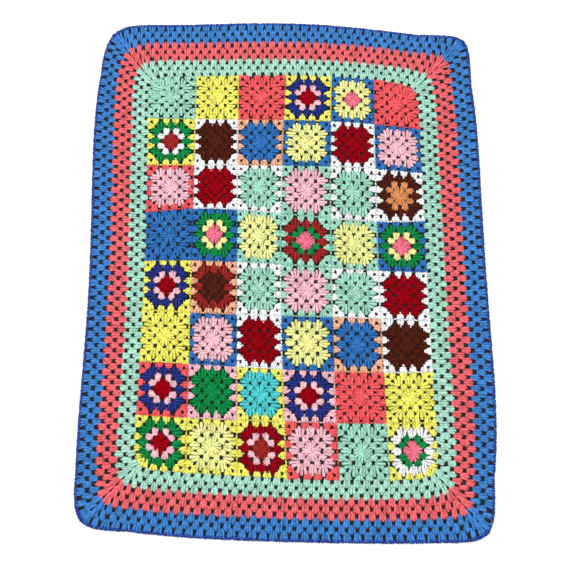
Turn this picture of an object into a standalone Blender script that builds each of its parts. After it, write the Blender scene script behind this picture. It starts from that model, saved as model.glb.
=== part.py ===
"""Granny square blanket, lying flat.

Forty-eight crocheted squares, eight rows of six, are sewn edge to edge. Three striped borders are worked
round them, mint, coral and blue, and a thin navy edging closes the outside. The crochet is one fabric thick,
so every piece here is a flat sheet that lies on z = 0, with its openwork left closed.

The pieces are first set out on a plain blanket, where all squares are alike and every line is straight. lay()
then carries them to where the uneven, hand-made blanket really lies. Metres, +Z up, +Y towards the top edge.
The origin is on the floor under the middle of the blanket.
"""
import math

import bmesh
import bpy

ROWS = 8
COLUMNS = 6
SQUARE_WIDTH = 0.108
SQUARE_HEIGHT = 0.115
THICKNESS = 0.0035
GAP = 0.0004  # between neighbouring pieces on the plain blanket
FACETS = 4  # along each side of a square
CORNER_CROWDING = 0.65  # how much closer the facets come together towards the blanket's outer corners
HALF_WIDTH = COLUMNS / 2 * SQUARE_WIDTH  # of the field of squares
HALF_HEIGHT = ROWS / 2 * SQUARE_HEIGHT

# The bands round the squares, from the inside out: name, width, colour.
BANDS = (
    ("border_mint", 0.0400, "mint"),
    ("border_coral", 0.0450, "coral"),
    ("border_blue", 0.0445, "blue"),
    ("edging_navy", 0.0045, "navy"),
)
BORDER_DEPTH = sum(width for name, width, colour in BANDS)

# Where the rows of squares begin and end, from the top down. Each line wanders, so it has four heights: on the
# left edge of the squares, a third of the way across, two thirds, and on the right edge.
ROW_LINES = (
    # name, left, left third, right third, right
    ("top of row 1", 0.453, 0.457, 0.459, 0.437),
    ("top of row 2", 0.341, 0.342, 0.341, 0.324),
    ("top of row 3", 0.222, 0.225, 0.226, 0.213),
    ("top of row 4", 0.104, 0.115, 0.098, 0.096),
    ("top of row 5", -0.011, -0.009, -0.019, -0.025),
    ("top of row 6", -0.123, -0.130, -0.132, -0.137),
    ("top of row 7", -0.238, -0.245, -0.252, -0.249),
    ("top of row 8", -0.351, -0.359, -0.361, -0.358),
    ("foot of row 8", -0.467, -0.475, -0.480, -0.471),
)

# Where the columns of squares begin and end, from the left: at the top edge of the squares, halfway down and at
# the foot.
COLUMN_LINES = (
    # name, top, middle, foot
    ("left of column 1", -0.344, -0.320, -0.316),
    ("left of column 2", -0.225, -0.213, -0.202),
    ("left of column 3", -0.122, -0.110, -0.092),
    ("left of column 4", -0.007, -0.010, 0.013),
    ("left of column 5", 0.104, 0.105, 0.123),
    ("left of column 6", 0.206, 0.212, 0.230),
    ("right of column 6", 0.315, 0.323, 0.335),
)

# The borders are worked more tightly in some places than in others. Each side has five depths, as shares of the
# plain depth: from left to right, or from the top down.
SIDE_DEPTHS = {
    "top": (1.030, 1.050, 1.053, 1.021, 1.034),
    "right": (0.952, 1.001, 0.981, 0.985, 0.856),
    "bottom": (0.904, 0.941, 0.918, 0.910, 0.943),
    "left": (0.846, 0.950, 0.917, 0.911, 0.876),
}

# Each corner is drawn in. The share is of the way from one square inside the corner of the squares, first at
# that corner and then at the blanket's outer corner.
CORNERS = {
    # side, side: share at the squares, share at the edging
    ("left", "top"): (0.125, 0.112),
    ("right", "top"): (0.120, 0.059),
    ("left", "bottom"): (0.120, 0.086),
    ("right", "bottom"): (0.105, 0.086),
}

# Low swells where the fabric doesn't lie quite flat: row and column of the place, counted in squares from the
# top left corner of the squares, then radius and height.
SWELLS = (
    # name, down, across, radius, height
    ("mint square, row 8", 7.45, 4.60, 0.075, 0.0040),
    ("mint square, row 3", 2.45, 4.50, 0.070, 0.0030),
    ("mint square, row 1", 0.55, 0.55, 0.075, 0.0030),
    ("seams by rows 5 and 6", 5.00, 2.10, 0.080, 0.0025),
    ("right border", 4.00, 6.65, 0.085, 0.0030),
)

# The main colour of each square, row by row from the top.
SQUARE_COLOURS = (
    ("mint", "yellow", "coral", "navy", "lemon", "coral"),
    ("green", "brown", "blue", "lemon", "crimson", "pink"),
    ("pink", "crimson", "mint", "pink", "mint", "tan"),
    ("blue", "green", "lemon", "rust", "lemon", "green"),
    ("navy", "brown", "mint", "pink", "mint", "crimson"),
    ("yellow", "pink", "crimson", "lemon", "blue", "brown"),
    ("navy", "green", "turquoise", "navy", "coral", "yellow"),
    ("green", "lemon", "crimson", "pink", "mint", "white"),
)

YARN_COLOURS = {
    "mint": (0.36, 0.75, 0.57),
    "yellow": (0.87, 0.76, 0.13),
    "lemon": (0.89, 0.83, 0.36),
    "coral": (0.91, 0.13, 0.13),
    "navy": (0.012, 0.035, 0.26),
    "blue": (0.035, 0.19, 0.62),
    "crimson": (0.34, 0.003, 0.012),
    "pink": (0.85, 0.45, 0.52),
    "green": (0.005, 0.28, 0.062),
    "brown": (0.09, 0.018, 0.008),
    "rust": (0.32, 0.018, 0.010),
    "tan": (0.55, 0.24, 0.065),
    "turquoise": (0.07, 0.62, 0.65),
    "white": (0.86, 0.87, 0.90),
}
YARN_ROUGHNESS = 0.9


def between(start, end, share):
    return start + (end - start) * share


def through(values, share):
    """The curve through evenly spaced values, at a share from 0 to 1 of the way along."""
    last = len(values) - 1
    place = min(max(share, 0.0), 1.0) * last
    total = 0.0
    for i, value in enumerate(values):
        weight = 1.0
        for j in range(len(values)):
            if j != i:
                weight *= (place - j) / (i - j)
        total += weight * value
    return total


def ease_corner(x, y):
    """Draw in the corners of the plain blanket, each along a rounder and rounder square."""
    across = (abs(x) - HALF_WIDTH) / (SQUARE_WIDTH if abs(x) < HALF_WIDTH else SQUARE_HEIGHT) + 1
    up = (abs(y) - HALF_HEIGHT) / SQUARE_HEIGHT + 1
    if across <= 0 or up <= 0:
        return x, y
    inner, outer = CORNERS["right" if x > 0 else "left", "top" if y > 0 else "bottom"]
    reach = max(across, up)
    if reach <= 1:
        share = inner * reach
    else:
        share = inner * (outer / inner) ** ((reach - 1) * SQUARE_HEIGHT / BORDER_DEPTH)
    power = -math.log(2) / math.log1p(-share)
    scale = (1 + (min(across, up) / reach) ** power) ** (-1 / power)
    x_eased = HALF_WIDTH + (across * scale - 1) * (SQUARE_WIDTH if across * scale < 1 else SQUARE_HEIGHT)
    y_eased = HALF_HEIGHT + (up * scale - 1) * SQUARE_HEIGHT
    return math.copysign(x_eased, x), math.copysign(y_eased, y)


def along_lines(place, lines):
    """Where a place counted in squares falls between seam lines given from one side to the other."""
    index = min(max(int(place), 0), len(lines) - 2)
    return between(lines[index], lines[index + 1], place - index)


def swell(x, y):
    """How far the fabric stands off the floor."""
    height = 0.0
    for name, down, across, radius, rise in SWELLS:
        x_top = (across - COLUMNS / 2) * SQUARE_WIDTH
        y_top = (ROWS / 2 - down) * SQUARE_HEIGHT
        distance = math.hypot(x - x_top, y - y_top) / radius
        if distance < 1:
            height += rise * (1 + math.cos(math.pi * distance)) / 2
    return height


def lay(x, y):
    """Carry a point of the plain blanket to where it lies."""
    x, y = ease_corner(x, y)
    x_inside = min(max(x, -HALF_WIDTH), HALF_WIDTH)
    y_inside = min(max(y, -HALF_HEIGHT), HALF_HEIGHT)
    across = (x_inside + HALF_WIDTH) / SQUARE_WIDTH
    down = (HALF_HEIGHT - y_inside) / SQUARE_HEIGHT
    x_lines = [through(line[1:], down / ROWS) for line in COLUMN_LINES]
    y_lines = [through(line[1:], across / COLUMNS) for line in ROW_LINES]
    x_past = (x - x_inside) * through(SIDE_DEPTHS["right" if x > 0 else "left"], down / ROWS)
    y_past = (y - y_inside) * through(SIDE_DEPTHS["top" if y > 0 else "bottom"], across / COLUMNS)
    return along_lines(across, x_lines) + x_past, along_lines(down, y_lines) + y_past, swell(x, y)


def yarn_material(name, colour):
    material = bpy.data.materials.new(name)
    material.use_nodes = True
    shader = material.node_tree.nodes["Principled BSDF"]
    shader.inputs["Base Color"].default_value = (*YARN_COLOURS[colour], 1)
    shader.inputs["Roughness"].default_value = YARN_ROUGHNESS
    shader.inputs["Metallic"].default_value = 0
    material.diffuse_color = (*YARN_COLOURS[colour], 1)
    return material


def laid_sheet(name, colour, segments, place, collection):
    """A grid whose points go through place(across, up), each from 0 to 1, and onto the floor as a thick sheet."""
    mesh = bpy.data.meshes.new(name)
    grid = bmesh.new()
    bmesh.ops.create_grid(grid, x_segments=segments[0], y_segments=segments[1], size=0.5)
    for vertex in grid.verts:
        vertex.co = lay(*place(vertex.co.x + 0.5, vertex.co.y + 0.5))
    bmesh.ops.remove_doubles(grid, verts=grid.verts, dist=1e-6)
    grid.to_mesh(mesh)
    grid.free()
    sheet = bpy.data.objects.new(name, mesh)
    collection.objects.link(sheet)
    mesh.materials.append(yarn_material(name, colour))
    thicken = sheet.modifiers.new("Fabric", "SOLIDIFY")
    thicken.thickness = THICKNESS
    thicken.offset = 1
    return sheet


def granny_square(row, column, collection):
    """One square, counted from the top left."""
    left = column * SQUARE_WIDTH - HALF_WIDTH
    foot = HALF_HEIGHT - (row + 1) * SQUARE_HEIGHT

    def place(across, up):
        x = between(left + GAP / 2, left + SQUARE_WIDTH - GAP / 2, across)
        y = between(foot + GAP / 2, foot + SQUARE_HEIGHT - GAP / 2, up)
        return x, y

    name = f"square_r{row + 1}_c{column + 1}"
    return laid_sheet(name, SQUARE_COLOURS[row][column], (FACETS, FACETS), place, collection)


def ring_point(step, depth):
    """Clockwise round the squares from their top left corner, a number of facets on and a depth outside them."""
    wide, high = HALF_WIDTH + depth, HALF_HEIGHT + depth
    corners = ((-wide, high), (wide, high), (wide, -high), (-wide, -high))
    side = 0
    counts = (COLUMNS * FACETS, ROWS * FACETS) * 2
    while step > counts[side] and side < len(counts) - 1:
        step -= counts[side]
        side += 1
    start, end = corners[side], corners[(side + 1) % len(corners)]
    share = step / counts[side]
    share -= CORNER_CROWDING * depth / BORDER_DEPTH * math.sin(2 * math.pi * share) / (2 * math.pi)
    return between(start[0], end[0], share), between(start[1], end[1], share)


def border_band(name, colour, inner, outer, collection):
    """One striped band, a closed ring round the squares."""
    steps = 2 * (COLUMNS + ROWS) * FACETS

    def place(round_share, out_share):
        depth = between(inner + GAP / 2, outer - GAP / 2, out_share)
        return ring_point(round(round_share * steps), depth)

    return laid_sheet(name, colour, (steps, 1), place, collection)


def build_blanket():
    for old in list(bpy.data.objects):
        bpy.data.objects.remove(old, do_unlink=True)
    collection = bpy.data.collections.new("granny_square_blanket")
    bpy.context.scene.collection.children.link(collection)
    for row in range(ROWS):
        for column in range(COLUMNS):
            granny_square(row, column, collection)
    depth = 0.0
    for name, width, colour in BANDS:
        border_band(name, colour, depth, depth + width, collection)
        depth += width


build_blanket()
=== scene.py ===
import math

import bmesh
import bpy
import numpy as np
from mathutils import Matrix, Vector


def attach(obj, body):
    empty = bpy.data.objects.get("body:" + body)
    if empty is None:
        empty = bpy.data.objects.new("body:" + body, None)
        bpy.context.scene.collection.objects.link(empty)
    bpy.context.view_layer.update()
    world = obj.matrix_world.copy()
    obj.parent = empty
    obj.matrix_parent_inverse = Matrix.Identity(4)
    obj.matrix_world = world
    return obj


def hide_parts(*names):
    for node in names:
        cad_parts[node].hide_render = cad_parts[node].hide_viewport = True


# Granny square blanket. The stitches are planned on a plain blanket, where all squares are alike and all
# lines are straight. lay() carries their feet and tips to where the blanket really lies, and Geometry Nodes
# work each stitch from its foot to its tip.

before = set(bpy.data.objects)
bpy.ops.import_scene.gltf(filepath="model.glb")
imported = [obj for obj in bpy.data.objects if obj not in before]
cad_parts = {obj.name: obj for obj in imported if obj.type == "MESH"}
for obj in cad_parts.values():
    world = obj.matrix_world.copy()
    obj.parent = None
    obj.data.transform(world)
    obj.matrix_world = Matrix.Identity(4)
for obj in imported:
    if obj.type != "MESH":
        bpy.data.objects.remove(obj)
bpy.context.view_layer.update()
print("frame loaded:", len(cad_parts), "nodes")

blanket = {
    "rows": 8,
    "columns": 6,
    "squareWidth": 0.108,
    "squareHeight": 0.115,
    # from the inside out: name, width, rings of fans, yarn
    "bands": (
        ("border_mint", 0.0400, 3, "mint border"),
        ("border_coral", 0.0450, 3, "coral border"),
        ("border_blue", 0.0445, 3, "blue border"),
        ("edging_navy", 0.0045, 0, "navy edging"),
    ),
    # heights of the lines between rows, from the top down: left, left third, right third, right
    "rowLines": (
        (0.453, 0.457, 0.459, 0.437),
        (0.341, 0.342, 0.341, 0.324),
        (0.222, 0.225, 0.226, 0.213),
        (0.104, 0.115, 0.098, 0.096),
        (-0.011, -0.009, -0.019, -0.025),
        (-0.123, -0.130, -0.132, -0.137),
        (-0.238, -0.245, -0.252, -0.249),
        (-0.351, -0.359, -0.361, -0.358),
        (-0.467, -0.475, -0.480, -0.471),
    ),
    # places of the lines between columns, from the left: top, middle, foot
    "columnLines": (
        (-0.344, -0.320, -0.316),
        (-0.225, -0.213, -0.202),
        (-0.122, -0.110, -0.092),
        (-0.007, -0.010, 0.013),
        (0.104, 0.105, 0.123),
        (0.206, 0.212, 0.230),
        (0.315, 0.323, 0.335),
    ),
    # how deep the borders lie, as shares of their worked depth, from left to right or from the top down
    "sideDepths": {
        "top": (1.030, 1.050, 1.053, 1.021, 1.034),
        "right": (0.952, 1.001, 0.981, 0.985, 0.856),
        "bottom": (0.904, 0.941, 0.918, 0.910, 0.943),
        "left": (0.846, 0.950, 0.917, 0.911, 0.876),
    },
    # how far each corner is drawn in: share at the squares, share at the edging
    "corners": {
        ("left", "top"): (0.125, 0.112),
        ("right", "top"): (0.120, 0.059),
        ("left", "bottom"): (0.120, 0.086),
        ("right", "bottom"): (0.105, 0.086),
    },
    # low swells: squares down, squares across, radius, height
    "swells": (
        (7.45, 4.60, 0.075, 0.0040),
        (2.45, 4.50, 0.070, 0.0030),
        (0.55, 0.55, 0.075, 0.0030),
        (5.00, 2.10, 0.080, 0.0025),
        (4.00, 6.65, 0.085, 0.0030),
    ),
}
halfWidth = blanket["columns"] / 2 * blanket["squareWidth"]
halfHeight = blanket["rows"] / 2 * blanket["squareHeight"]
borderDepth = sum(band[1] for band in blanket["bands"])


def curveThrough(values, share):  # the curve through evenly spaced values, at shares from 0 to 1
    last = len(values) - 1
    place = np.clip(share, 0, 1) * last
    total = np.zeros_like(place)
    for i, value in enumerate(values):
        weight = np.ones_like(place)
        for j in range(len(values)):
            if j != i:
                weight *= (place - j) / (i - j)
        total += weight * value
    return total


def easeCorner(x, y, right, top):  # draws in one corner, each line along a rounder and rounder square
    inner, outer = blanket["corners"]["right" if right else "left", "top" if top else "bottom"]
    width, height = blanket["squareWidth"], blanket["squareHeight"]  # the borders count in heights
    across = (abs(x) - halfWidth) / np.where(abs(x) < halfWidth, width, height) + 1
    up = (abs(y) - halfHeight) / height + 1
    here = (across > 0) & (up > 0) & ((x > 0) == right) & ((y > 0) == top)
    across, up = np.where(here, across, 0.5), np.where(here, up, 0.5)
    reach = np.maximum(across, up)
    past = np.maximum(reach - 1, 0) * height / borderDepth
    share = inner * np.minimum(reach, 1) * (outer / inner) ** past
    power = -math.log(2) / np.log1p(-share)
    scale = (1 + (np.minimum(across, up) / reach) ** power) ** (-1 / power)
    xEased = np.copysign(halfWidth + (across * scale - 1) * np.where(across * scale < 1, width, height), x)
    yEased = np.copysign(halfHeight + (up * scale - 1) * height, y)
    return np.where(here, xEased, x), np.where(here, yEased, y)


def alongLines(place, lines):  # from a place counted in squares to one between the seam lines
    lines = np.array(lines)
    index = np.clip(place.astype(int), 0, len(lines) - 2)
    here = np.arange(len(place))
    start, end = lines[index, here], lines[index + 1, here]
    return start + (end - start) * (place - index)


def swell(x, y):  # how far the fabric stands off the floor
    height = np.zeros_like(x)
    for down, across, radius, rise in blanket["swells"]:
        xTop = (across - blanket["columns"] / 2) * blanket["squareWidth"]
        yTop = (blanket["rows"] / 2 - down) * blanket["squareHeight"]
        distance = np.minimum(np.hypot(x - xTop, y - yTop) / radius, 1)
        height += rise * (1 + np.cos(math.pi * distance)) / 2
    return height


def lay(points):  # carries points of the plain blanket, one row each, to where they lie
    x, y = points[:, 0], points[:, 1]
    for right in (False, True):
        for top in (False, True):
            x, y = easeCorner(x, y, right, top)
    xInside = np.clip(x, -halfWidth, halfWidth)
    yInside = np.clip(y, -halfHeight, halfHeight)
    across = (xInside + halfWidth) / blanket["squareWidth"]
    down = (halfHeight - yInside) / blanket["squareHeight"]
    xLines = [curveThrough(line, down / blanket["rows"]) for line in blanket["columnLines"]]
    yLines = [curveThrough(line, across / blanket["columns"]) for line in blanket["rowLines"]]
    depths = {
        "left": curveThrough(blanket["sideDepths"]["left"], down / blanket["rows"]),
        "right": curveThrough(blanket["sideDepths"]["right"], down / blanket["rows"]),
        "top": curveThrough(blanket["sideDepths"]["top"], across / blanket["columns"]),
        "bottom": curveThrough(blanket["sideDepths"]["bottom"], across / blanket["columns"]),
    }
    xPast = (x - xInside) * np.where(x > 0, depths["right"], depths["left"])
    yPast = (y - yInside) * np.where(y > 0, depths["top"], depths["bottom"])
    xLaid = alongLines(across, xLines) + xPast
    yLaid = alongLines(down, yLines) + yPast
    return np.column_stack((xLaid, yLaid, swell(x, y) + points[:, 2]))


def layMesh(mesh):
    places = np.zeros(len(mesh.vertices) * 3, np.float32)
    mesh.vertices.foreach_get("co", places)
    laid = lay(places.reshape(-1, 3).astype(float))
    mesh.vertices.foreach_set("co", laid.astype(np.float32).ravel())
    mesh.update()


def newTree(name, kind, inputs, outputs):
    tree = bpy.data.node_groups.new(name, kind)
    for label, socket, value in inputs:
        made = tree.interface.new_socket(label, in_out="INPUT", socket_type="NodeSocket" + socket)
        if value is not None:
            made.default_value = value
    for label, socket in outputs:
        tree.interface.new_socket(label, in_out="OUTPUT", socket_type="NodeSocket" + socket)
    return tree


def addNode(tree, kind, settings=None, **inputs):  # inputs are sockets to link from, or plain values
    node = tree.nodes.new(kind)
    for key, value in (settings or {}).items():
        setattr(node, key, value)
    for key, value in inputs.items():
        socket = node.inputs[int(key[1:])] if key[0] == "i" and key[1:].isdigit() else node.inputs[key]
        if isinstance(value, bpy.types.NodeSocket):
            tree.links.new(value, socket)
        else:
            socket.default_value = value
    return node


def arithmetic(tree, operation, a, b=0.0, c=0.0):
    kind = "ShaderNodeMath"
    return addNode(tree, kind, {"operation": operation}, i0=a, i1=b, i2=c).outputs[0]


yarns = {
    # linear colour; the yarns of the squares and those of the borders are different balls
    "mint": (0.375, 0.720, 0.565),
    "yellow": (0.920, 0.885, 0.155),
    "coral": (0.925, 0.118, 0.132),
    "blue": (0.036, 0.178, 0.500),
    "navy": (0.022, 0.038, 0.230),
    "crimson": (0.318, 0.001, 0.007),
    "pink": (0.950, 0.540, 0.610),
    "lemon": (0.905, 0.905, 0.350),
    "rose": (0.880, 0.190, 0.280),
    "white": (0.960, 0.965, 0.970),
    "green": (0.006, 0.262, 0.062),
    "brown": (0.090, 0.015, 0.007),
    "rust": (0.350, 0.024, 0.021),
    "peach": (0.900, 0.470, 0.290),
    "tan": (0.720, 0.290, 0.108),
    "turquoise": (0.088, 0.630, 0.655),
    "mint border": (0.430, 0.755, 0.610),
    "coral border": (0.895, 0.160, 0.180),
    "blue border": (0.064, 0.250, 0.640),
    "navy edging": (0.030, 0.060, 0.330),
}
yarnFinish = {  # depths and scales in metres, shades as shares
    "plies": 3,
    "twist": 2.6,  # turns of the plies along a stitch
    "plyDepth": 0.00035,
    "fuzzDepth": 0.00025,
    "fuzzScale": 900.0,
    "mottleScale": 260.0,
    # painted shade in the grooves between the plies, as a share of the colour
    "paintedGrooveShade": 0.55,
    "toneShade": 0.12,
    "mottleShade": 1.3,
    "roughness": 0.85,
    "sheen": 0.006,
    "specular": 0.015,
}


def plyTree():  # the plies of the yarn, wound along the stitch's own UV map
    tree = newTree(
        "yarn plies",
        "ShaderNodeTree",
        (("Along", "Vector", None), ("Plies", "Float", 3.0), ("Twist", "Float", 2.0)),
        (("Height", "Float"), ("Groove", "Float")),
    )
    start = tree.nodes.new("NodeGroupInput").outputs
    parts = addNode(tree, "ShaderNodeSeparateXYZ", None, i0=start["Along"]).outputs
    around = arithmetic(tree, "MULTIPLY", parts[0], start["Plies"])
    winding = arithmetic(tree, "MULTIPLY_ADD", parts[1], start["Twist"], around)
    angle = arithmetic(tree, "MULTIPLY", winding, 2 * math.pi)
    wave = arithmetic(tree, "SINE", angle)
    height = arithmetic(tree, "MULTIPLY_ADD", wave, 0.5, 0.5)
    rounded = arithmetic(tree, "POWER", height, 0.5)
    # where the painted shade between the plies falls
    groove = arithmetic(tree, "SUBTRACT", 1.0, rounded)
    end = tree.nodes.new("NodeGroupOutput")
    tree.links.new(rounded, end.inputs["Height"])
    tree.links.new(groove, end.inputs["Groove"])
    return tree


def fuzzTree():  # loose fibres, and the soft uneven shade of brushed yarn
    tree = newTree(
        "yarn fuzz",
        "ShaderNodeTree",
        (("Place", "Vector", None), ("Fibre scale", "Float", 900.0), ("Mottle scale", "Float", 150.0)),
        (("Height", "Float"), ("Mottle", "Float")),
    )
    start = tree.nodes.new("NodeGroupInput").outputs
    fibres = addNode(tree, "ShaderNodeTexNoise", None, Vector=start["Place"], Scale=start["Fibre scale"])
    fibres.inputs["Detail"].default_value = 3
    mottle = addNode(tree, "ShaderNodeTexNoise", None, Vector=start["Place"], Scale=start["Mottle scale"])
    mottle.inputs["Detail"].default_value = 4
    end = tree.nodes.new("NodeGroupOutput")
    tree.links.new(fibres.outputs[0], end.inputs["Height"])
    tree.links.new(mottle.outputs[0], end.inputs["Mottle"])
    return tree


def shadeTree():  # a yarn's colour, with painted shade between the plies, and uneven from stitch to stitch
    tree = newTree(
        "yarn shade",
        "ShaderNodeTree",
        (
            ("Colour", "Color", (1, 1, 1, 1)),
            ("Groove", "Float", 0.0),
            ("Groove shade", "Float", 0.5),
            ("Mottle", "Float", 0.5),
            ("Mottle shade", "Float", 1.0),
            ("Tone", "Float", 0.0),
            ("Tone shade", "Float", 0.1),
        ),
        (("Colour", "Color"),),
    )
    start = tree.nodes.new("NodeGroupInput").outputs
    # painted shade in the grooves between the plies
    grooved = arithmetic(tree, "MULTIPLY", start["Groove"], start["Groove shade"])
    lit = arithmetic(tree, "SUBTRACT", 1.0, grooved)
    toned = arithmetic(tree, "MULTIPLY_ADD", start["Tone"], start["Tone shade"], lit)
    spread = arithmetic(tree, "SUBTRACT", start["Mottle"], 0.5)
    mottled = arithmetic(tree, "MULTIPLY_ADD", spread, start["Mottle shade"], toned)
    shade = addNode(tree, "ShaderNodeVectorMath", {"operation": "SCALE"}, i0=start["Colour"], Scale=mottled)
    end = tree.nodes.new("NodeGroupOutput")
    tree.links.new(shade.outputs[0], end.inputs["Colour"])
    return tree


plies, fuzz, shades = plyTree(), fuzzTree(), shadeTree()


def yarnMaterial(name, colour):
    material = bpy.data.materials.new("yarn " + name)
    material.use_nodes = True
    material.diffuse_color = (*colour, 1)
    tree = material.node_tree
    shader = tree.nodes["Principled BSDF"]
    place = addNode(tree, "ShaderNodeTexCoord").outputs["Object"]
    along = addNode(tree, "ShaderNodeUVMap", {"uv_map": "alongYarn"}).outputs[0]
    tone = addNode(tree, "ShaderNodeAttribute", {"attribute_name": "tone"}).outputs["Fac"]
    ply = addNode(tree, "ShaderNodeGroup", {"node_tree": plies}, Along=along)
    ply.inputs["Plies"].default_value = yarnFinish["plies"]
    ply.inputs["Twist"].default_value = yarnFinish["twist"]
    fibre = addNode(tree, "ShaderNodeGroup", {"node_tree": fuzz}, Place=place)
    fibre.inputs["Fibre scale"].default_value = yarnFinish["fuzzScale"]
    fibre.inputs["Mottle scale"].default_value = yarnFinish["mottleScale"]
    shade = addNode(tree, "ShaderNodeGroup", {"node_tree": shades}, Groove=ply.outputs["Groove"], Tone=tone)
    shade.inputs["Colour"].default_value = (*colour, 1)
    shade.inputs["Groove shade"].default_value = yarnFinish["paintedGrooveShade"]
    shade.inputs["Mottle shade"].default_value = yarnFinish["mottleShade"]
    shade.inputs["Tone shade"].default_value = yarnFinish["toneShade"]
    tree.links.new(fibre.outputs["Mottle"], shade.inputs["Mottle"])
    tree.links.new(shade.outputs["Colour"], shader.inputs["Base Color"])
    plyBump = addNode(tree, "ShaderNodeBump", None, Height=ply.outputs["Height"])
    plyBump.inputs["Distance"].default_value = yarnFinish["plyDepth"]
    fuzzBump = addNode(tree, "ShaderNodeBump", None, Height=fibre.outputs["Height"])
    tree.links.new(plyBump.outputs[0], fuzzBump.inputs["Normal"])
    fuzzBump.inputs["Distance"].default_value = yarnFinish["fuzzDepth"]
    tree.links.new(fuzzBump.outputs[0], shader.inputs["Normal"])
    shader.inputs["Roughness"].default_value = yarnFinish["roughness"]
    shader.inputs["Sheen Weight"].default_value = yarnFinish["sheen"]
    shader.inputs["Specular IOR Level"].default_value = yarnFinish["specular"]
    return material


materials = {name: yarnMaterial(name, colour) for name, colour in yarns.items()}
print("materials made:", len(materials))


tallStitch = {
    "length": 0.0185,
    "sides": 4,
    # share along the post, half width, half thickness, place across, height off the floor
    "post": (
        (0.00, 0.0015, 0.0007, 0.0000, 0.0012),
        (0.10, 0.0023, 0.0011, 0.0002, 0.0014),
        (0.38, 0.0024, 0.0012, -0.0002, 0.0017),
        (0.66, 0.0026, 0.0012, 0.0002, 0.0022),
        (0.90, 0.0027, 0.0011, 0.0000, 0.0024),
        (1.02, 0.0018, 0.0007, 0.0000, 0.0023),
    ),
    "topWidth": 0.0028,
    "topThickness": 0.0010,
    "topHeight": 0.0030,
}
shortStitch = {
    "length": 0.0050,
    "sides": 5,
    "post": (
        (0.00, 0.0012, 0.0010, 0.0000, 0.0024),
        (0.35, 0.0021, 0.0018, 0.0000, 0.0022),
        (0.80, 0.0021, 0.0016, 0.0000, 0.0020),
        (1.05, 0.0012, 0.0010, 0.0000, 0.0018),
    ),
    "topWidth": 0.0026,
    "topThickness": 0.0011,
    "topHeight": 0.0026,
}
whipStitch = {"length": 0.0025, "reach": 0.0036, "thickness": 0.0018, "arch": 0.0012, "height": 0.0027}
stitchSizes = {"tall": tallStitch, "short": shortStitch, "whip": whipStitch}


def addTube(mesh, uv, rings, sides, length):  # a ring: centre, half width, half thickness, direction
    loops = []
    for centre, wide, thick, acrossDirection in rings:
        loop = []
        for i in range(sides):
            angle = 2 * math.pi * i / sides + math.pi / 2  # one corner up
            place = centre + acrossDirection * (wide * math.cos(angle))
            place.z += thick * math.sin(angle)
            loop.append(mesh.verts.new(place))
        loops.append(loop)
    last = len(rings) - 1
    for k in range(last):
        for i in range(sides):
            j = (i + 1) % sides
            face = mesh.faces.new((loops[k][i], loops[k][j], loops[k + 1][j], loops[k + 1][i]))
            corners = ((i, k), (i + 1, k), (i + 1, k + 1), (i, k + 1))
            for corner, (turn, step) in zip(face.loops, corners):
                corner[uv].uv = (turn / sides, step / last * length)
    mesh.faces.new(loops[0])
    mesh.faces.new(loops[-1])


def finishTemplate(name, mesh):
    bmesh.ops.recalc_face_normals(mesh, faces=mesh.faces)
    data = bpy.data.meshes.new(name)
    mesh.to_mesh(data)
    mesh.free()
    data.shade_smooth()
    template = bpy.data.objects.new(name, data)
    bpy.context.scene.collection.objects.link(template)
    template.hide_render = True
    return template


def stitchTemplate(name, size):  # a post from its foot outwards along +Y, and the loop along its top
    mesh = bmesh.new()
    uv = mesh.loops.layers.uv.new("alongYarn")
    right = Vector((1, 0, 0))
    rings = []
    for share, wide, thick, across, height in size["post"]:
        rings.append((Vector((across, share * size["length"], height)), wide, thick, right))
    addTube(mesh, uv, rings, size["sides"], 1.0)
    outwards = Vector((0, 1, 0))
    rings = []
    for share, girth in ((-1, 0.55), (-0.45, 1), (0.45, 1), (1, 0.55)):  # the loop narrows to its ends
        centre = Vector((share * size["topWidth"], size["length"], size["topHeight"]))
        rings.append((centre, size["topThickness"] * girth, size["topThickness"] * girth, outwards))
    addTube(mesh, uv, rings, 3, 0.5)
    return finishTemplate(name, mesh)


def whipTemplate(name, size):  # a small arched stitch over a seam, along X
    mesh = bmesh.new()
    uv = mesh.loops.layers.uv.new("alongYarn")
    across = Vector((0, 1, 0))
    rings = []
    for share, girth in ((-1, 0.7), (-0.4, 1), (0.4, 1), (1, 0.7)):
        lift = size["height"] + size["arch"] * (1 - share * share) - size["arch"]
        centre = Vector((share * size["reach"], 0, lift))
        rings.append((centre, size["thickness"] * girth, size["thickness"] * girth, across))
    addTube(mesh, uv, rings, 4, 0.4)
    return finishTemplate(name, mesh)


templates = {
    "tall": stitchTemplate("tall_stitch", tallStitch),
    "short": stitchTemplate("short_stitch", shortStitch),
    "whip": whipTemplate("whip_stitch", whipStitch),
}


fanWork = {
    "placeSlack": 0.0004,  # how far a foot strays
    "turnSlack": 0.05,  # how far a stitch turns, in radians
    "sizeSlack": 0.05,
    "seed": 11,
}


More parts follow.
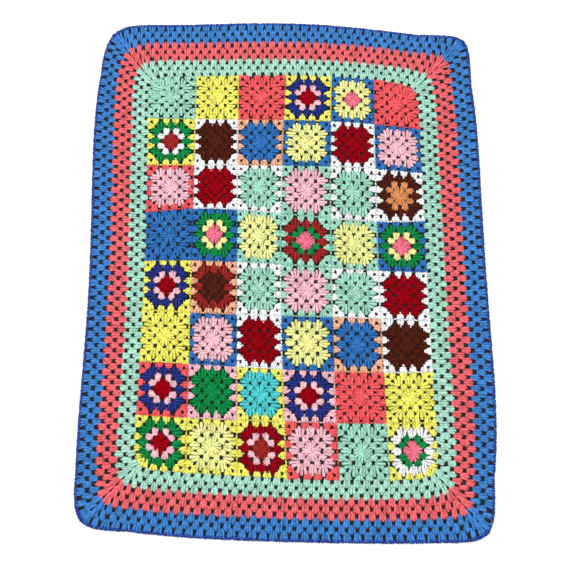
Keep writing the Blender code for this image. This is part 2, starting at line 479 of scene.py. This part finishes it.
def fanTree():
    tree = newTree(
        "work fans of stitches",
        "GeometryNodeTree",
        (
            ("Feet", "Geometry", None),
            ("Stitch", "Object", None),
            ("Stitches in a fan", "Int", 3),
            ("Place slack", "Float", 0.0),
            ("Turn slack", "Float", 0.0),
            ("Size slack", "Float", 0.0),
            ("Seed", "Int", 1),
            ("Yarn 0", "Material", None),
            ("Yarn 1", "Material", None),
            ("Yarn 2", "Material", None),
            ("Yarn 3", "Material", None),
        ),
        (("Fabric", "Geometry"),),
    )
    start = tree.nodes.new("NodeGroupInput").outputs

    def stored(name, kind="FLOAT"):
        return addNode(tree, "GeometryNodeInputNamedAttribute", {"data_type": kind}, Name=name).outputs[0]

    def chance(lane):  # an even draw from -1 to 1 for each element
        index = addNode(tree, "GeometryNodeInputIndex").outputs[0]
        seed = arithmetic(tree, "ADD", start["Seed"], lane * 100.0)
        draw = addNode(tree, "FunctionNodeRandomValue", {"data_type": "FLOAT"}, ID=index, Seed=seed)
        draw.inputs[2].default_value = -1.0
        draw.inputs[3].default_value = 1.0
        return draw.outputs[1]

    def scatter(lane, slack):
        return arithmetic(tree, "MULTIPLY", chance(lane), slack)

    copies = addNode(tree, "GeometryNodeDuplicateElements", {"domain": "POINT"}, Geometry=start["Feet"])
    tree.links.new(start["Stitches in a fan"], copies.inputs["Amount"])
    fewer = arithmetic(tree, "SUBTRACT", start["Stitches in a fan"], 1.0)
    middle = arithmetic(tree, "MULTIPLY", fewer, 0.5)
    step = arithmetic(tree, "SUBTRACT", copies.outputs["Duplicate Index"], middle)
    heading = stored("heading")
    aside = arithmetic(tree, "MULTIPLY", step, stored("spread"))
    xShift = arithmetic(tree, "MULTIPLY", aside, arithmetic(tree, "COSINE", heading))
    yShift = arithmetic(tree, "MULTIPLY", aside, arithmetic(tree, "SINE", heading))
    xSlack = scatter(1, start["Place slack"])
    ySlack = scatter(2, start["Place slack"])
    shift = addNode(tree, "ShaderNodeCombineXYZ")
    tree.links.new(arithmetic(tree, "ADD", xShift, xSlack), shift.inputs[0])
    tree.links.new(arithmetic(tree, "ADD", yShift, ySlack), shift.inputs[1])
    tree.links.new(scatter(3, start["Place slack"]), shift.inputs[2])
    placed = addNode(tree, "GeometryNodeSetPosition", None, Geometry=copies.outputs[0])
    tree.links.new(shift.outputs[0], placed.inputs["Offset"])
    leaning = arithmetic(tree, "MULTIPLY", step, stored("fan"))
    turned = arithmetic(tree, "SUBTRACT", heading, leaning)
    turn = addNode(tree, "ShaderNodeCombineXYZ")
    tree.links.new(stored("climb"), turn.inputs[0])
    tree.links.new(arithmetic(tree, "ADD", turned, scatter(4, start["Turn slack"])), turn.inputs[2])
    drop = arithmetic(tree, "MULTIPLY", arithmetic(tree, "ABSOLUTE", step), stored("drop"))
    kept = arithmetic(tree, "SUBTRACT", 1.0, drop)
    longer = arithmetic(tree, "ADD", kept, scatter(5, start["Size slack"]))
    wider = arithmetic(tree, "ADD", 1.0, scatter(6, start["Size slack"]))
    size = addNode(tree, "ShaderNodeCombineXYZ")
    tree.links.new(arithmetic(tree, "MULTIPLY", wider, stored("wide")), size.inputs[0])
    tree.links.new(arithmetic(tree, "MULTIPLY", longer, stored("reach")), size.inputs[1])
    tree.links.new(arithmetic(tree, "ADD", 1.0, scatter(7, start["Size slack"])), size.inputs[2])
    template = addNode(tree, "GeometryNodeObjectInfo", {"transform_space": "ORIGINAL"})
    tree.links.new(start["Stitch"], template.inputs[0])
    worked = addNode(tree, "GeometryNodeInstanceOnPoints", None, Points=placed.outputs[0])
    tree.links.new(template.outputs["Geometry"], worked.inputs["Instance"])
    tree.links.new(turn.outputs[0], worked.inputs["Rotation"])
    tree.links.new(size.outputs[0], worked.inputs["Scale"])
    toned = addNode(
        tree,
        "GeometryNodeStoreNamedAttribute",
        {"data_type": "FLOAT", "domain": "INSTANCE"},
        Geometry=worked.outputs[0],
        Name="tone",
        Value=chance(8),
    )
    fabric = addNode(tree, "GeometryNodeRealizeInstances", None, Geometry=toned.outputs[0]).outputs[0]
    for i in range(4):
        equal = {"data_type": "INT", "operation": "EQUAL"}
        same = addNode(tree, "FunctionNodeCompare", equal, i2=stored("yarn", "INT"))
        same.inputs[3].default_value = i
        dye = addNode(tree, "GeometryNodeSetMaterial", None, Geometry=fabric, Selection=same.outputs[0])
        tree.links.new(start[f"Yarn {i}"], dye.inputs["Material"])
        fabric = dye.outputs[0]
    end = tree.nodes.new("NodeGroupOutput")
    tree.links.new(fabric, end.inputs["Fabric"])
    return tree


workFans = fanTree()


class Feet:  # where fans of stitches are worked, from foot to tip on the plain blanket
    columns = ("wide", "fan", "spread", "drop", "yarn")

    def __init__(self):
        self.feet, self.tips, self.rows = [], [], []

    def add(self, foot, tip, wide=1.0, fan=0.0, spread=0.0, drop=0.0, yarn=0):
        self.feet.append((*foot, 0.0))
        self.tips.append((*tip, 0.0))
        self.rows.append((wide, fan, spread, drop, yarn))


def workPiece(name, feet, stitch, yarnNames, perFan, seed):  # one plain mesh of realized stitches
    starts, ends = lay(np.array(feet.feet)), lay(np.array(feet.tips))
    steps = ends - starts
    level = np.hypot(steps[:, 0], steps[:, 1])
    values = {
        "heading": np.arctan2(-steps[:, 0], steps[:, 1]),
        "climb": np.arctan2(steps[:, 2], level),
        "reach": level / stitchSizes[stitch]["length"],
    }
    values.update(zip(Feet.columns, np.array(feet.rows).T))
    mesh = bpy.data.meshes.new(name)
    mesh.vertices.add(len(starts))
    mesh.vertices.foreach_set("co", starts.astype(np.float32).ravel())
    for column, numbers in values.items():
        kind, number = ("INT", np.int32) if column == "yarn" else ("FLOAT", np.float32)
        mesh.attributes.new(column, kind, "POINT").data.foreach_set("value", numbers.astype(number))
    holder = bpy.data.objects.new(name + "_feet", mesh)
    bpy.context.scene.collection.objects.link(holder)
    modifier = holder.modifiers.new("Work fans", "NODES")
    modifier.node_group = workFans
    inputs = {
        "Stitch": templates[stitch],
        "Stitches in a fan": perFan,
        "Place slack": fanWork["placeSlack"],
        "Turn slack": fanWork["turnSlack"],
        "Size slack": fanWork["sizeSlack"],
        "Seed": fanWork["seed"] + seed,
    }
    for i in range(4):
        inputs[f"Yarn {i}"] = materials[yarnNames[min(i, len(yarnNames) - 1)]]
    for item in workFans.interface.items_tree:
        if item.name in inputs:
            modifier[item.identifier] = inputs[item.name]
    depsgraph = bpy.context.evaluated_depsgraph_get()
    fabric = bpy.data.meshes.new_from_object(holder.evaluated_get(depsgraph), depsgraph=depsgraph)
    bpy.data.objects.remove(holder, do_unlink=True)
    for column in values:
        if column in fabric.attributes:
            fabric.attributes.remove(fabric.attributes[column])
    fabric.name = name
    return fabric


def joinMeshes(name, meshes):  # one mesh from several, keeping their yarns
    objects = []
    for mesh in meshes:
        part = bpy.data.objects.new(name, mesh)
        bpy.context.scene.collection.objects.link(part)
        objects.append(part)
    if len(objects) > 1:
        with bpy.context.temp_override(active_object=objects[0], selected_editable_objects=objects):
            bpy.ops.object.join()
    return objects[0]


square = {
    "pitches": 5,  # fans' widths along a side
    "heartPosts": 4,  # tall stitches in each fan of the first round
    "posts": 3,  # and in the others
    # for rounds 1 to 4, in pitches from the middle: feet, feet at the corners, tips and the corners' lean
    "feet": (0.04, 0.60, 1.14, 1.74),
    "cornerFeet": (0.04, 0.58, 1.06, 1.70),
    "tips": (0.98, 1.40, 2.13, 2.47),
    "lean": (0.0, 0.02, 0.06, 0.13),
    # the turn from one stitch of a fan to the next, the spacing of their feet, the outer ones' shortening
    "fan": (0.393, 0.12, 0.09, 0.21),
    "cornerFan": (0.393, 0.10, 0.18, 0.20),
    "spread": (0.0, 0.0030, 0.0046, 0.0025),
    "drop": (0.12, 0.12, 0.17, 0.04),
    "wide": (1.18, 1.28, 1.34, 1.20),
    "pairGap": 0.07,  # between the feet of the two fans in a corner
    "chain": (1.98, 2.40),  # where the chain round each corner begins, and its outermost point
    "chainSlope": 0.12,  # how far the chain's beginning stands in from that point
    "chainWide": 1.5,
    "seamStitches": 15,
    "seamStep": (0.0024, 0.0007),  # from a seam stitch's foot to its tip, across the seam and along it
}

# each square's yarns in rounds 1 to 4, from the middle
squareYarns = (
    (
        "mint mint mint mint",
        "yellow yellow yellow yellow",
        "coral coral coral coral",
        "crimson pink navy yellow",
        "rose lemon lemon blue",
        "coral coral coral coral",
    ),
    (
        "rust white green yellow",
        "brown brown brown white",
        "blue blue blue peach",
        "lemon lemon lemon blue",
        "crimson crimson crimson white",
        "pink pink pink blue",
    ),
    (
        "pink pink pink coral",
        "crimson crimson crimson white",
        "mint mint mint white",
        "pink pink pink mint",
        "mint mint mint white",
        "tan tan brown white",
    ),
    (
        "blue blue blue blue",
        "rose lemon green blue",
        "lemon lemon lemon mint",
        "rose green rust mint",
        "lemon lemon lemon mint",
        "rose lemon green blue",
    ),
    (
        "crimson pink navy yellow",
        "brown brown rust peach",
        "mint mint mint white",
        "pink pink pink mint",
        "mint mint mint white",
        "crimson crimson crimson white",
    ),
    (
        "yellow yellow yellow yellow",
        "pink pink pink blue",
        "crimson crimson crimson white",
        "lemon lemon lemon blue",
        "blue blue blue peach",
        "brown brown brown white",
    ),
    (
        "crimson pink navy coral",
        "green green green pink",
        "turquoise turquoise turquoise yellow",
        "crimson pink navy pink",
        "coral coral coral coral",
        "yellow yellow yellow yellow",
    ),
    (
        "crimson pink green yellow",
        "lemon lemon lemon yellow",
        "rust pink crimson yellow",
        "pink pink pink coral",
        "mint mint mint mint",
        "rose green white yellow",
    ),
)


def workSquare(row, column):
    width, height = blanket["squareWidth"], blanket["squareHeight"]
    middle = ((column + 0.5) * width - halfWidth, halfHeight - (row + 0.5) * height)
    pitch = (width / square["pitches"], height / square["pitches"])

    def place(side, along, out):  # side 0 is the top, then clockwise; both in pitches
        x, y = ((along, out), (out, -along), (-along, -out), (-out, along))[side]
        return middle[0] + x * pitch[0], middle[1] + y * pitch[1]

    heart, feet = Feet(), Feet()  # the first round, a solid disc, and the open rounds after it
    for ring in range(4):
        wide, spread, drop = square["wide"][ring], square["spread"][ring], square["drop"][ring]
        for side in range(4):
            for i in range(ring + 1):
                along = i - ring / 2
                foot = place(side, along, square["feet"][ring])
                tip = place(side, along, square["tips"][ring])
                fan = square["fan"][ring]
                if ring > 0 and i in (0, ring):
                    outwards = -1 if i == 0 else 1
                    corner = square["cornerFeet"][ring]
                    foot = place(side, outwards * (corner - square["pairGap"]), corner + square["pairGap"])
                    tip = place(side, along + outwards * square["lean"][ring], square["tips"][ring])
                    fan = square["cornerFan"][ring]
                holding = heart if ring == 0 else feet
                holding.add(foot, tip, wide, fan, spread, drop, ring)
    yarnNames = squareYarns[row][column].split()
    name = f"square_r{row + 1}_c{column + 1}"
    seed = 10 * (row * blanket["columns"] + column)
    chains = Feet()
    begin, corner = square["chain"]
    for side in range(4):
        for outwards in (-1, 1):
            foot = place(side, outwards * begin, corner - square["chainSlope"])
            tip = place(side, outwards * corner, corner)
            chains.add(foot, tip, square["chainWide"], yarn=3)
    parts = [
        workPiece(name, heart, "tall", yarnNames, square["heartPosts"], seed + 7),
        workPiece(name, feet, "tall", yarnNames, square["posts"], seed),
        workPiece(name, chains, "short", yarnNames, 1, seed + 3),
    ]
    seams = Feet()
    count = square["seamStitches"]
    edge = square["pitches"] / 2
    overSeam, alongSeam = square["seamStep"]
    for i in range(count):
        along = (i + 0.5) / count * 2 * edge - edge
        if column + 1 < blanket["columns"]:
            x, y = place(1, along, edge)
            seams.add((x, y), (x + overSeam, y + alongSeam), yarn=3)
        if row + 1 < blanket["rows"]:
            x, y = place(2, along, edge)
            seams.add((x, y), (x + alongSeam, y + overSeam), yarn=3)
    if seams.rows:
        parts.append(workPiece(name, seams, "whip", yarnNames, 1, seed + 5))
    return joinMeshes(name, parts)


pieces = []
for row in range(blanket["rows"]):
    for column in range(blanket["columns"]):
        pieces.append((workSquare(row, column), row, column))
print("squares worked:", len(pieces))


border = {  # lengths in metres, angles in radians
    "posts": 3,
    "topFans": 31,  # in the first ring; each ring after it has one more
    "sideFans": 40,
    "easing": 300,  # how many times each ring's fans even out their spacing
    "samples": 600,  # points along a side where its laid length is measured
    "footOverlap": 0.0033,  # how far feet and tips cross the lines between rings
    "secondOverlap": 0.0055,  # and the feet of the second ring, worked low
    "tipOverlap": 0.0021,
    # the fans of the first ring, along the sides, next to the corners, at the corners and of the last ring
    "first": {"wide": 1.20, "fan": 0.08, "spread": 0.0039, "drop": 0.07},
    "along": {"wide": 1.20, "fan": 0.07, "spread": 0.0038, "drop": 0.08},
    "beside": {"wide": 1.06, "fan": 0.06, "spread": 0.0027, "drop": 0.10},
    "corner": {"wide": 1.10, "fan": 0.13, "spread": 0.0026, "drop": 0.06},
    "last": {"wide": 1.20, "fan": 0.14, "spread": 0.0037, "drop": 0.04},
    "cornerPlace": 0.0120,  # from a corner to the tip of each fan beside it
    "lastCornerPlace": 0.0090,  # the same in the outermost ring
    "pairGap": 0.0040,  # from a corner to the foot of each fan beside it
    "edgingStitches": (186, 236),
    "edgingReach": 0.0046,
    "edgingFoot": 0.0015,  # how far in from the blue band's edge the stitches begin
    "edgingSlant": 0.0030,
    "edgingWide": 1.05,
    "cornerTurns": (0.35, 0.80, 1.25),  # from straight out, of the stitches round each corner
    "cornerInset": 0.0010,
    "cornerWide": 1.30,
}
borderRings = sum(band[2] for band in blanket["bands"])


def sidePlace(side, along, depth):  # side 0 is the top, then clockwise
    return (
        (along, halfHeight + depth),
        (halfWidth + depth, -along),
        (-along, -halfHeight - depth),
        (-halfWidth - depth, along),
    )[side]


def sideRun(side, depth):  # plain places along a side, and how far along the laid side each one stands
    half = (halfHeight if side % 2 else halfWidth) + depth
    along = np.linspace(-half, half, border["samples"])
    laid = lay(np.array([(*sidePlace(side, place, depth), 0.0) for place in along]))
    steps = np.hypot(*np.diff(laid[:, :2], axis=0).T)
    return along, np.concatenate(((0.0,), np.cumsum(steps)))


def fromMiddle(side, depth):  # the same, counted from the middle of the side
    along, travelled = sideRun(side, depth)
    return along, travelled - np.interp(0, along, travelled)


def sideFans(side):  # each ring's fans stand between those before, and ease into the room at the corners
    count = border["sideFans"] if side % 2 else border["topFans"]
    half = halfHeight if side % 2 else halfWidth
    run = fromMiddle(side, 0)
    stations = np.interp(((np.arange(count) + 0.5) / count * 2 - 1) * half, *run)
    rings = []
    depth = 0.0
    for band, width, ringCount, yarn in blanket["bands"]:
        for i in range(ringCount):
            inner, depth = depth, depth + width / ringCount
            feet = (stations[1:] + stations[:-1]) / 2 if rings else stations[1:-1]
            footDepth = inner - border["secondOverlap" if len(rings) == 1 else "footOverlap"]
            footRun = fromMiddle(side, footDepth)
            tipRun = fromMiddle(side, depth + border["tipOverlap"])
            outermost = len(rings) + 1 == borderRings
            gap, room = border["pairGap"], border["lastCornerPlace" if outermost else "cornerPlace"]
            feet = np.concatenate(((footRun[1][0] + gap,), feet, (footRun[1][-1] - gap,)))
            stations = np.concatenate(((tipRun[1][0] + room,), feet[1:-1], (tipRun[1][-1] - room,)))
            for turn in range(border["easing"]):
                stations[1:-1] = (stations[:-2] + 2 * stations[1:-1] + stations[2:]) / 4
            footPlaces = np.interp(feet, footRun[1], footRun[0])
            tipPlaces = np.interp(stations, tipRun[1], tipRun[0])
            rings.append((footPlaces, footDepth, tipPlaces, depth + border["tipOverlap"]))
    return rings


def fanKind(ring, fromCorner):
    if fromCorner < 2:
        return border[("corner", "beside")[fromCorner]]
    if ring == 0:
        return border["first"]
    return border["last" if ring == borderRings - 1 else "along"]


def workRing(feet, ring):
    for side, rings in enumerate(fans):
        footPlaces, footDepth, tipPlaces, tipDepth = rings[ring]
        last = len(tipPlaces) - 1
        for i in range(last + 1):
            kind = fanKind(ring, min(i, last - i))
            foot = sidePlace(side, footPlaces[i], footDepth)
            tip = sidePlace(side, tipPlaces[i], tipDepth)
            feet.add(foot, tip, kind["wide"], kind["fan"], kind["spread"], kind["drop"])


def workEdging(feet, inner):
    reach, inset = border["edgingReach"], border["cornerInset"]
    for side in range(4):
        count = border["edgingStitches"][side % 2]
        along, travelled = sideRun(side, inner)
        places = np.interp((np.arange(count) + 0.5) / count * travelled[-1], travelled, along)
        for place in places:
            foot = sidePlace(side, place, inner - border["edgingFoot"])
            tip = sidePlace(side, place + border["edgingSlant"], inner + reach)
            feet.add(foot, tip, border["edgingWide"])
        for turn in border["cornerTurns"]:
            foot = sidePlace(side, along[-1] - inset, inner - inset)
            xTip, yTip = (reach + inset) * math.sin(turn), (reach + inset) * math.cos(turn)
            feet.add(foot, sidePlace(side, along[-1] + xTip, inner + yTip), border["cornerWide"])


fans = [sideFans(side) for side in range(4)]
bands = {}
ring, depth = 0, 0.0
for name, width, rings, yarn in blanket["bands"]:
    feet = Feet()
    for i in range(rings):
        workRing(feet, ring)
        ring += 1
    if rings:
        mesh = workPiece(name, feet, "tall", (yarn,), border["posts"], 1000 + ring)
    else:
        workEdging(feet, depth)
        mesh = workPiece(name, feet, "short", (yarn,), 1, 2000)
    bands[name] = (joinMeshes(name, [mesh]), depth, width)
    depth += width
print("borders worked:", ring, "rings and the edging")

for template in templates.values():
    bpy.data.objects.remove(template, do_unlink=True)


def takePlace(piece, node):  # stands for its CAD node
    piece.name = node + "_yarn"
    piece.data.name = piece.name
    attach(piece, "root")
    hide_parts(node)


for piece, row, column in pieces:
    takePlace(piece, f"square_r{row + 1}_c{column + 1}")

for name, (piece, inner, width) in bands.items():
    takePlace(piece, name)


studio = {
    "floorSize": 12.0,
    "floorDrop": 0.0012,
    "floorColour": (0.93, 0.93, 0.93),
    # the colour of the painted shade seen through the holes
    "shadeColour": (0.012, 0.010, 0.010),
    "shadeInset": 0.003,  # the dark sheet of painted shade under the blanket ends this far inside its edge
    "shadeDrop": 0.0006,
    "worldStrength": 0.83,
    "key": (-1.2, 1.3, 2.6, 2.4, 64.0),  # place, size and power
    "fill": (1.6, -1.4, 2.2, 3.0, 30.0),
}


def plainMaterial(name, colour, roughness):
    material = bpy.data.materials.new(name)
    material.use_nodes = True
    shader = material.node_tree.nodes["Principled BSDF"]
    shader.inputs["Base Color"].default_value = (*colour, 1)
    shader.inputs["Roughness"].default_value = roughness
    return material


def makeFloor():
    mesh = bpy.data.meshes.new("floor")
    grid = bmesh.new()
    bmesh.ops.create_grid(grid, x_segments=1, y_segments=1, size=studio["floorSize"] / 2)
    bmesh.ops.translate(grid, verts=grid.verts, vec=(0, 0, -studio["floorDrop"]))
    grid.to_mesh(mesh)
    grid.free()
    floor = bpy.data.objects.new("floor", mesh)
    bpy.context.scene.collection.objects.link(floor)
    mesh.materials.append(plainMaterial("floor", studio["floorColour"], 0.9))


def makeShade():  # a dark sheet of painted shade, hidden by the blanket, so that its holes read dark
    mesh = bpy.data.meshes.new("dark_cloth")
    grid = bmesh.new()
    bmesh.ops.create_grid(grid, x_segments=80, y_segments=100, size=1)
    outer = borderDepth - studio["shadeInset"]
    for vertex in grid.verts:
        vertex.co.x *= halfWidth + outer
        vertex.co.y *= halfHeight + outer
        vertex.co.z = 0
    grid.to_mesh(mesh)
    grid.free()
    layMesh(mesh)
    for vertex in mesh.vertices:
        vertex.co.z = -studio["shadeDrop"]
    shade = bpy.data.objects.new("dark_cloth", mesh)
    bpy.context.scene.collection.objects.link(shade)
    mesh.materials.append(plainMaterial("dark cloth", studio["shadeColour"], 1.0))


def makeLight(name, setting):
    light = bpy.data.lights.new(name, "AREA")
    light.size = setting[3]
    light.energy = setting[4]
    lamp = bpy.data.objects.new(name, light)
    bpy.context.scene.collection.objects.link(lamp)
    lamp.location = setting[:3]
    lamp.rotation_euler = (-Vector(setting[:3])).to_track_quat("-Z", "Y").to_euler()


makeFloor()
makeShade()
makeLight("key", studio["key"])
makeLight("fill", studio["fill"])
world = bpy.data.worlds.new("studio")
world.use_nodes = True
world.node_tree.nodes["Background"].inputs["Color"].default_value = (1, 1, 1, 1)
world.node_tree.nodes["Background"].inputs["Strength"].default_value = studio["worldStrength"]
bpy.context.scene.world = world
bpy.context.scene.view_settings.view_transform = "Standard"

view = {
    "aim": (0.001, -0.061, 0.0),
    "distance": 1.287,
    "azimuth": 1.1,  # degrees, from looking along +Y
    "elevation": 78.5,
    "lens": 36.0,
}
azimuth, elevation = math.radians(view["azimuth"]), math.radians(view["elevation"])
level = math.cos(elevation)
back = Vector((math.sin(azimuth) * level, -math.cos(azimuth) * level, math.sin(elevation)))
camera = bpy.data.objects.new("camera", bpy.data.cameras.new("camera"))
bpy.context.scene.collection.objects.link(camera)
camera.data.lens = view["lens"]
camera.data.sensor_width = 36.0
camera.location = Vector(view["aim"]) + back * view["distance"]
camera.rotation_euler = (-back).to_track_quat("-Z", "Y").to_euler()
bpy.context.scene.camera = camera

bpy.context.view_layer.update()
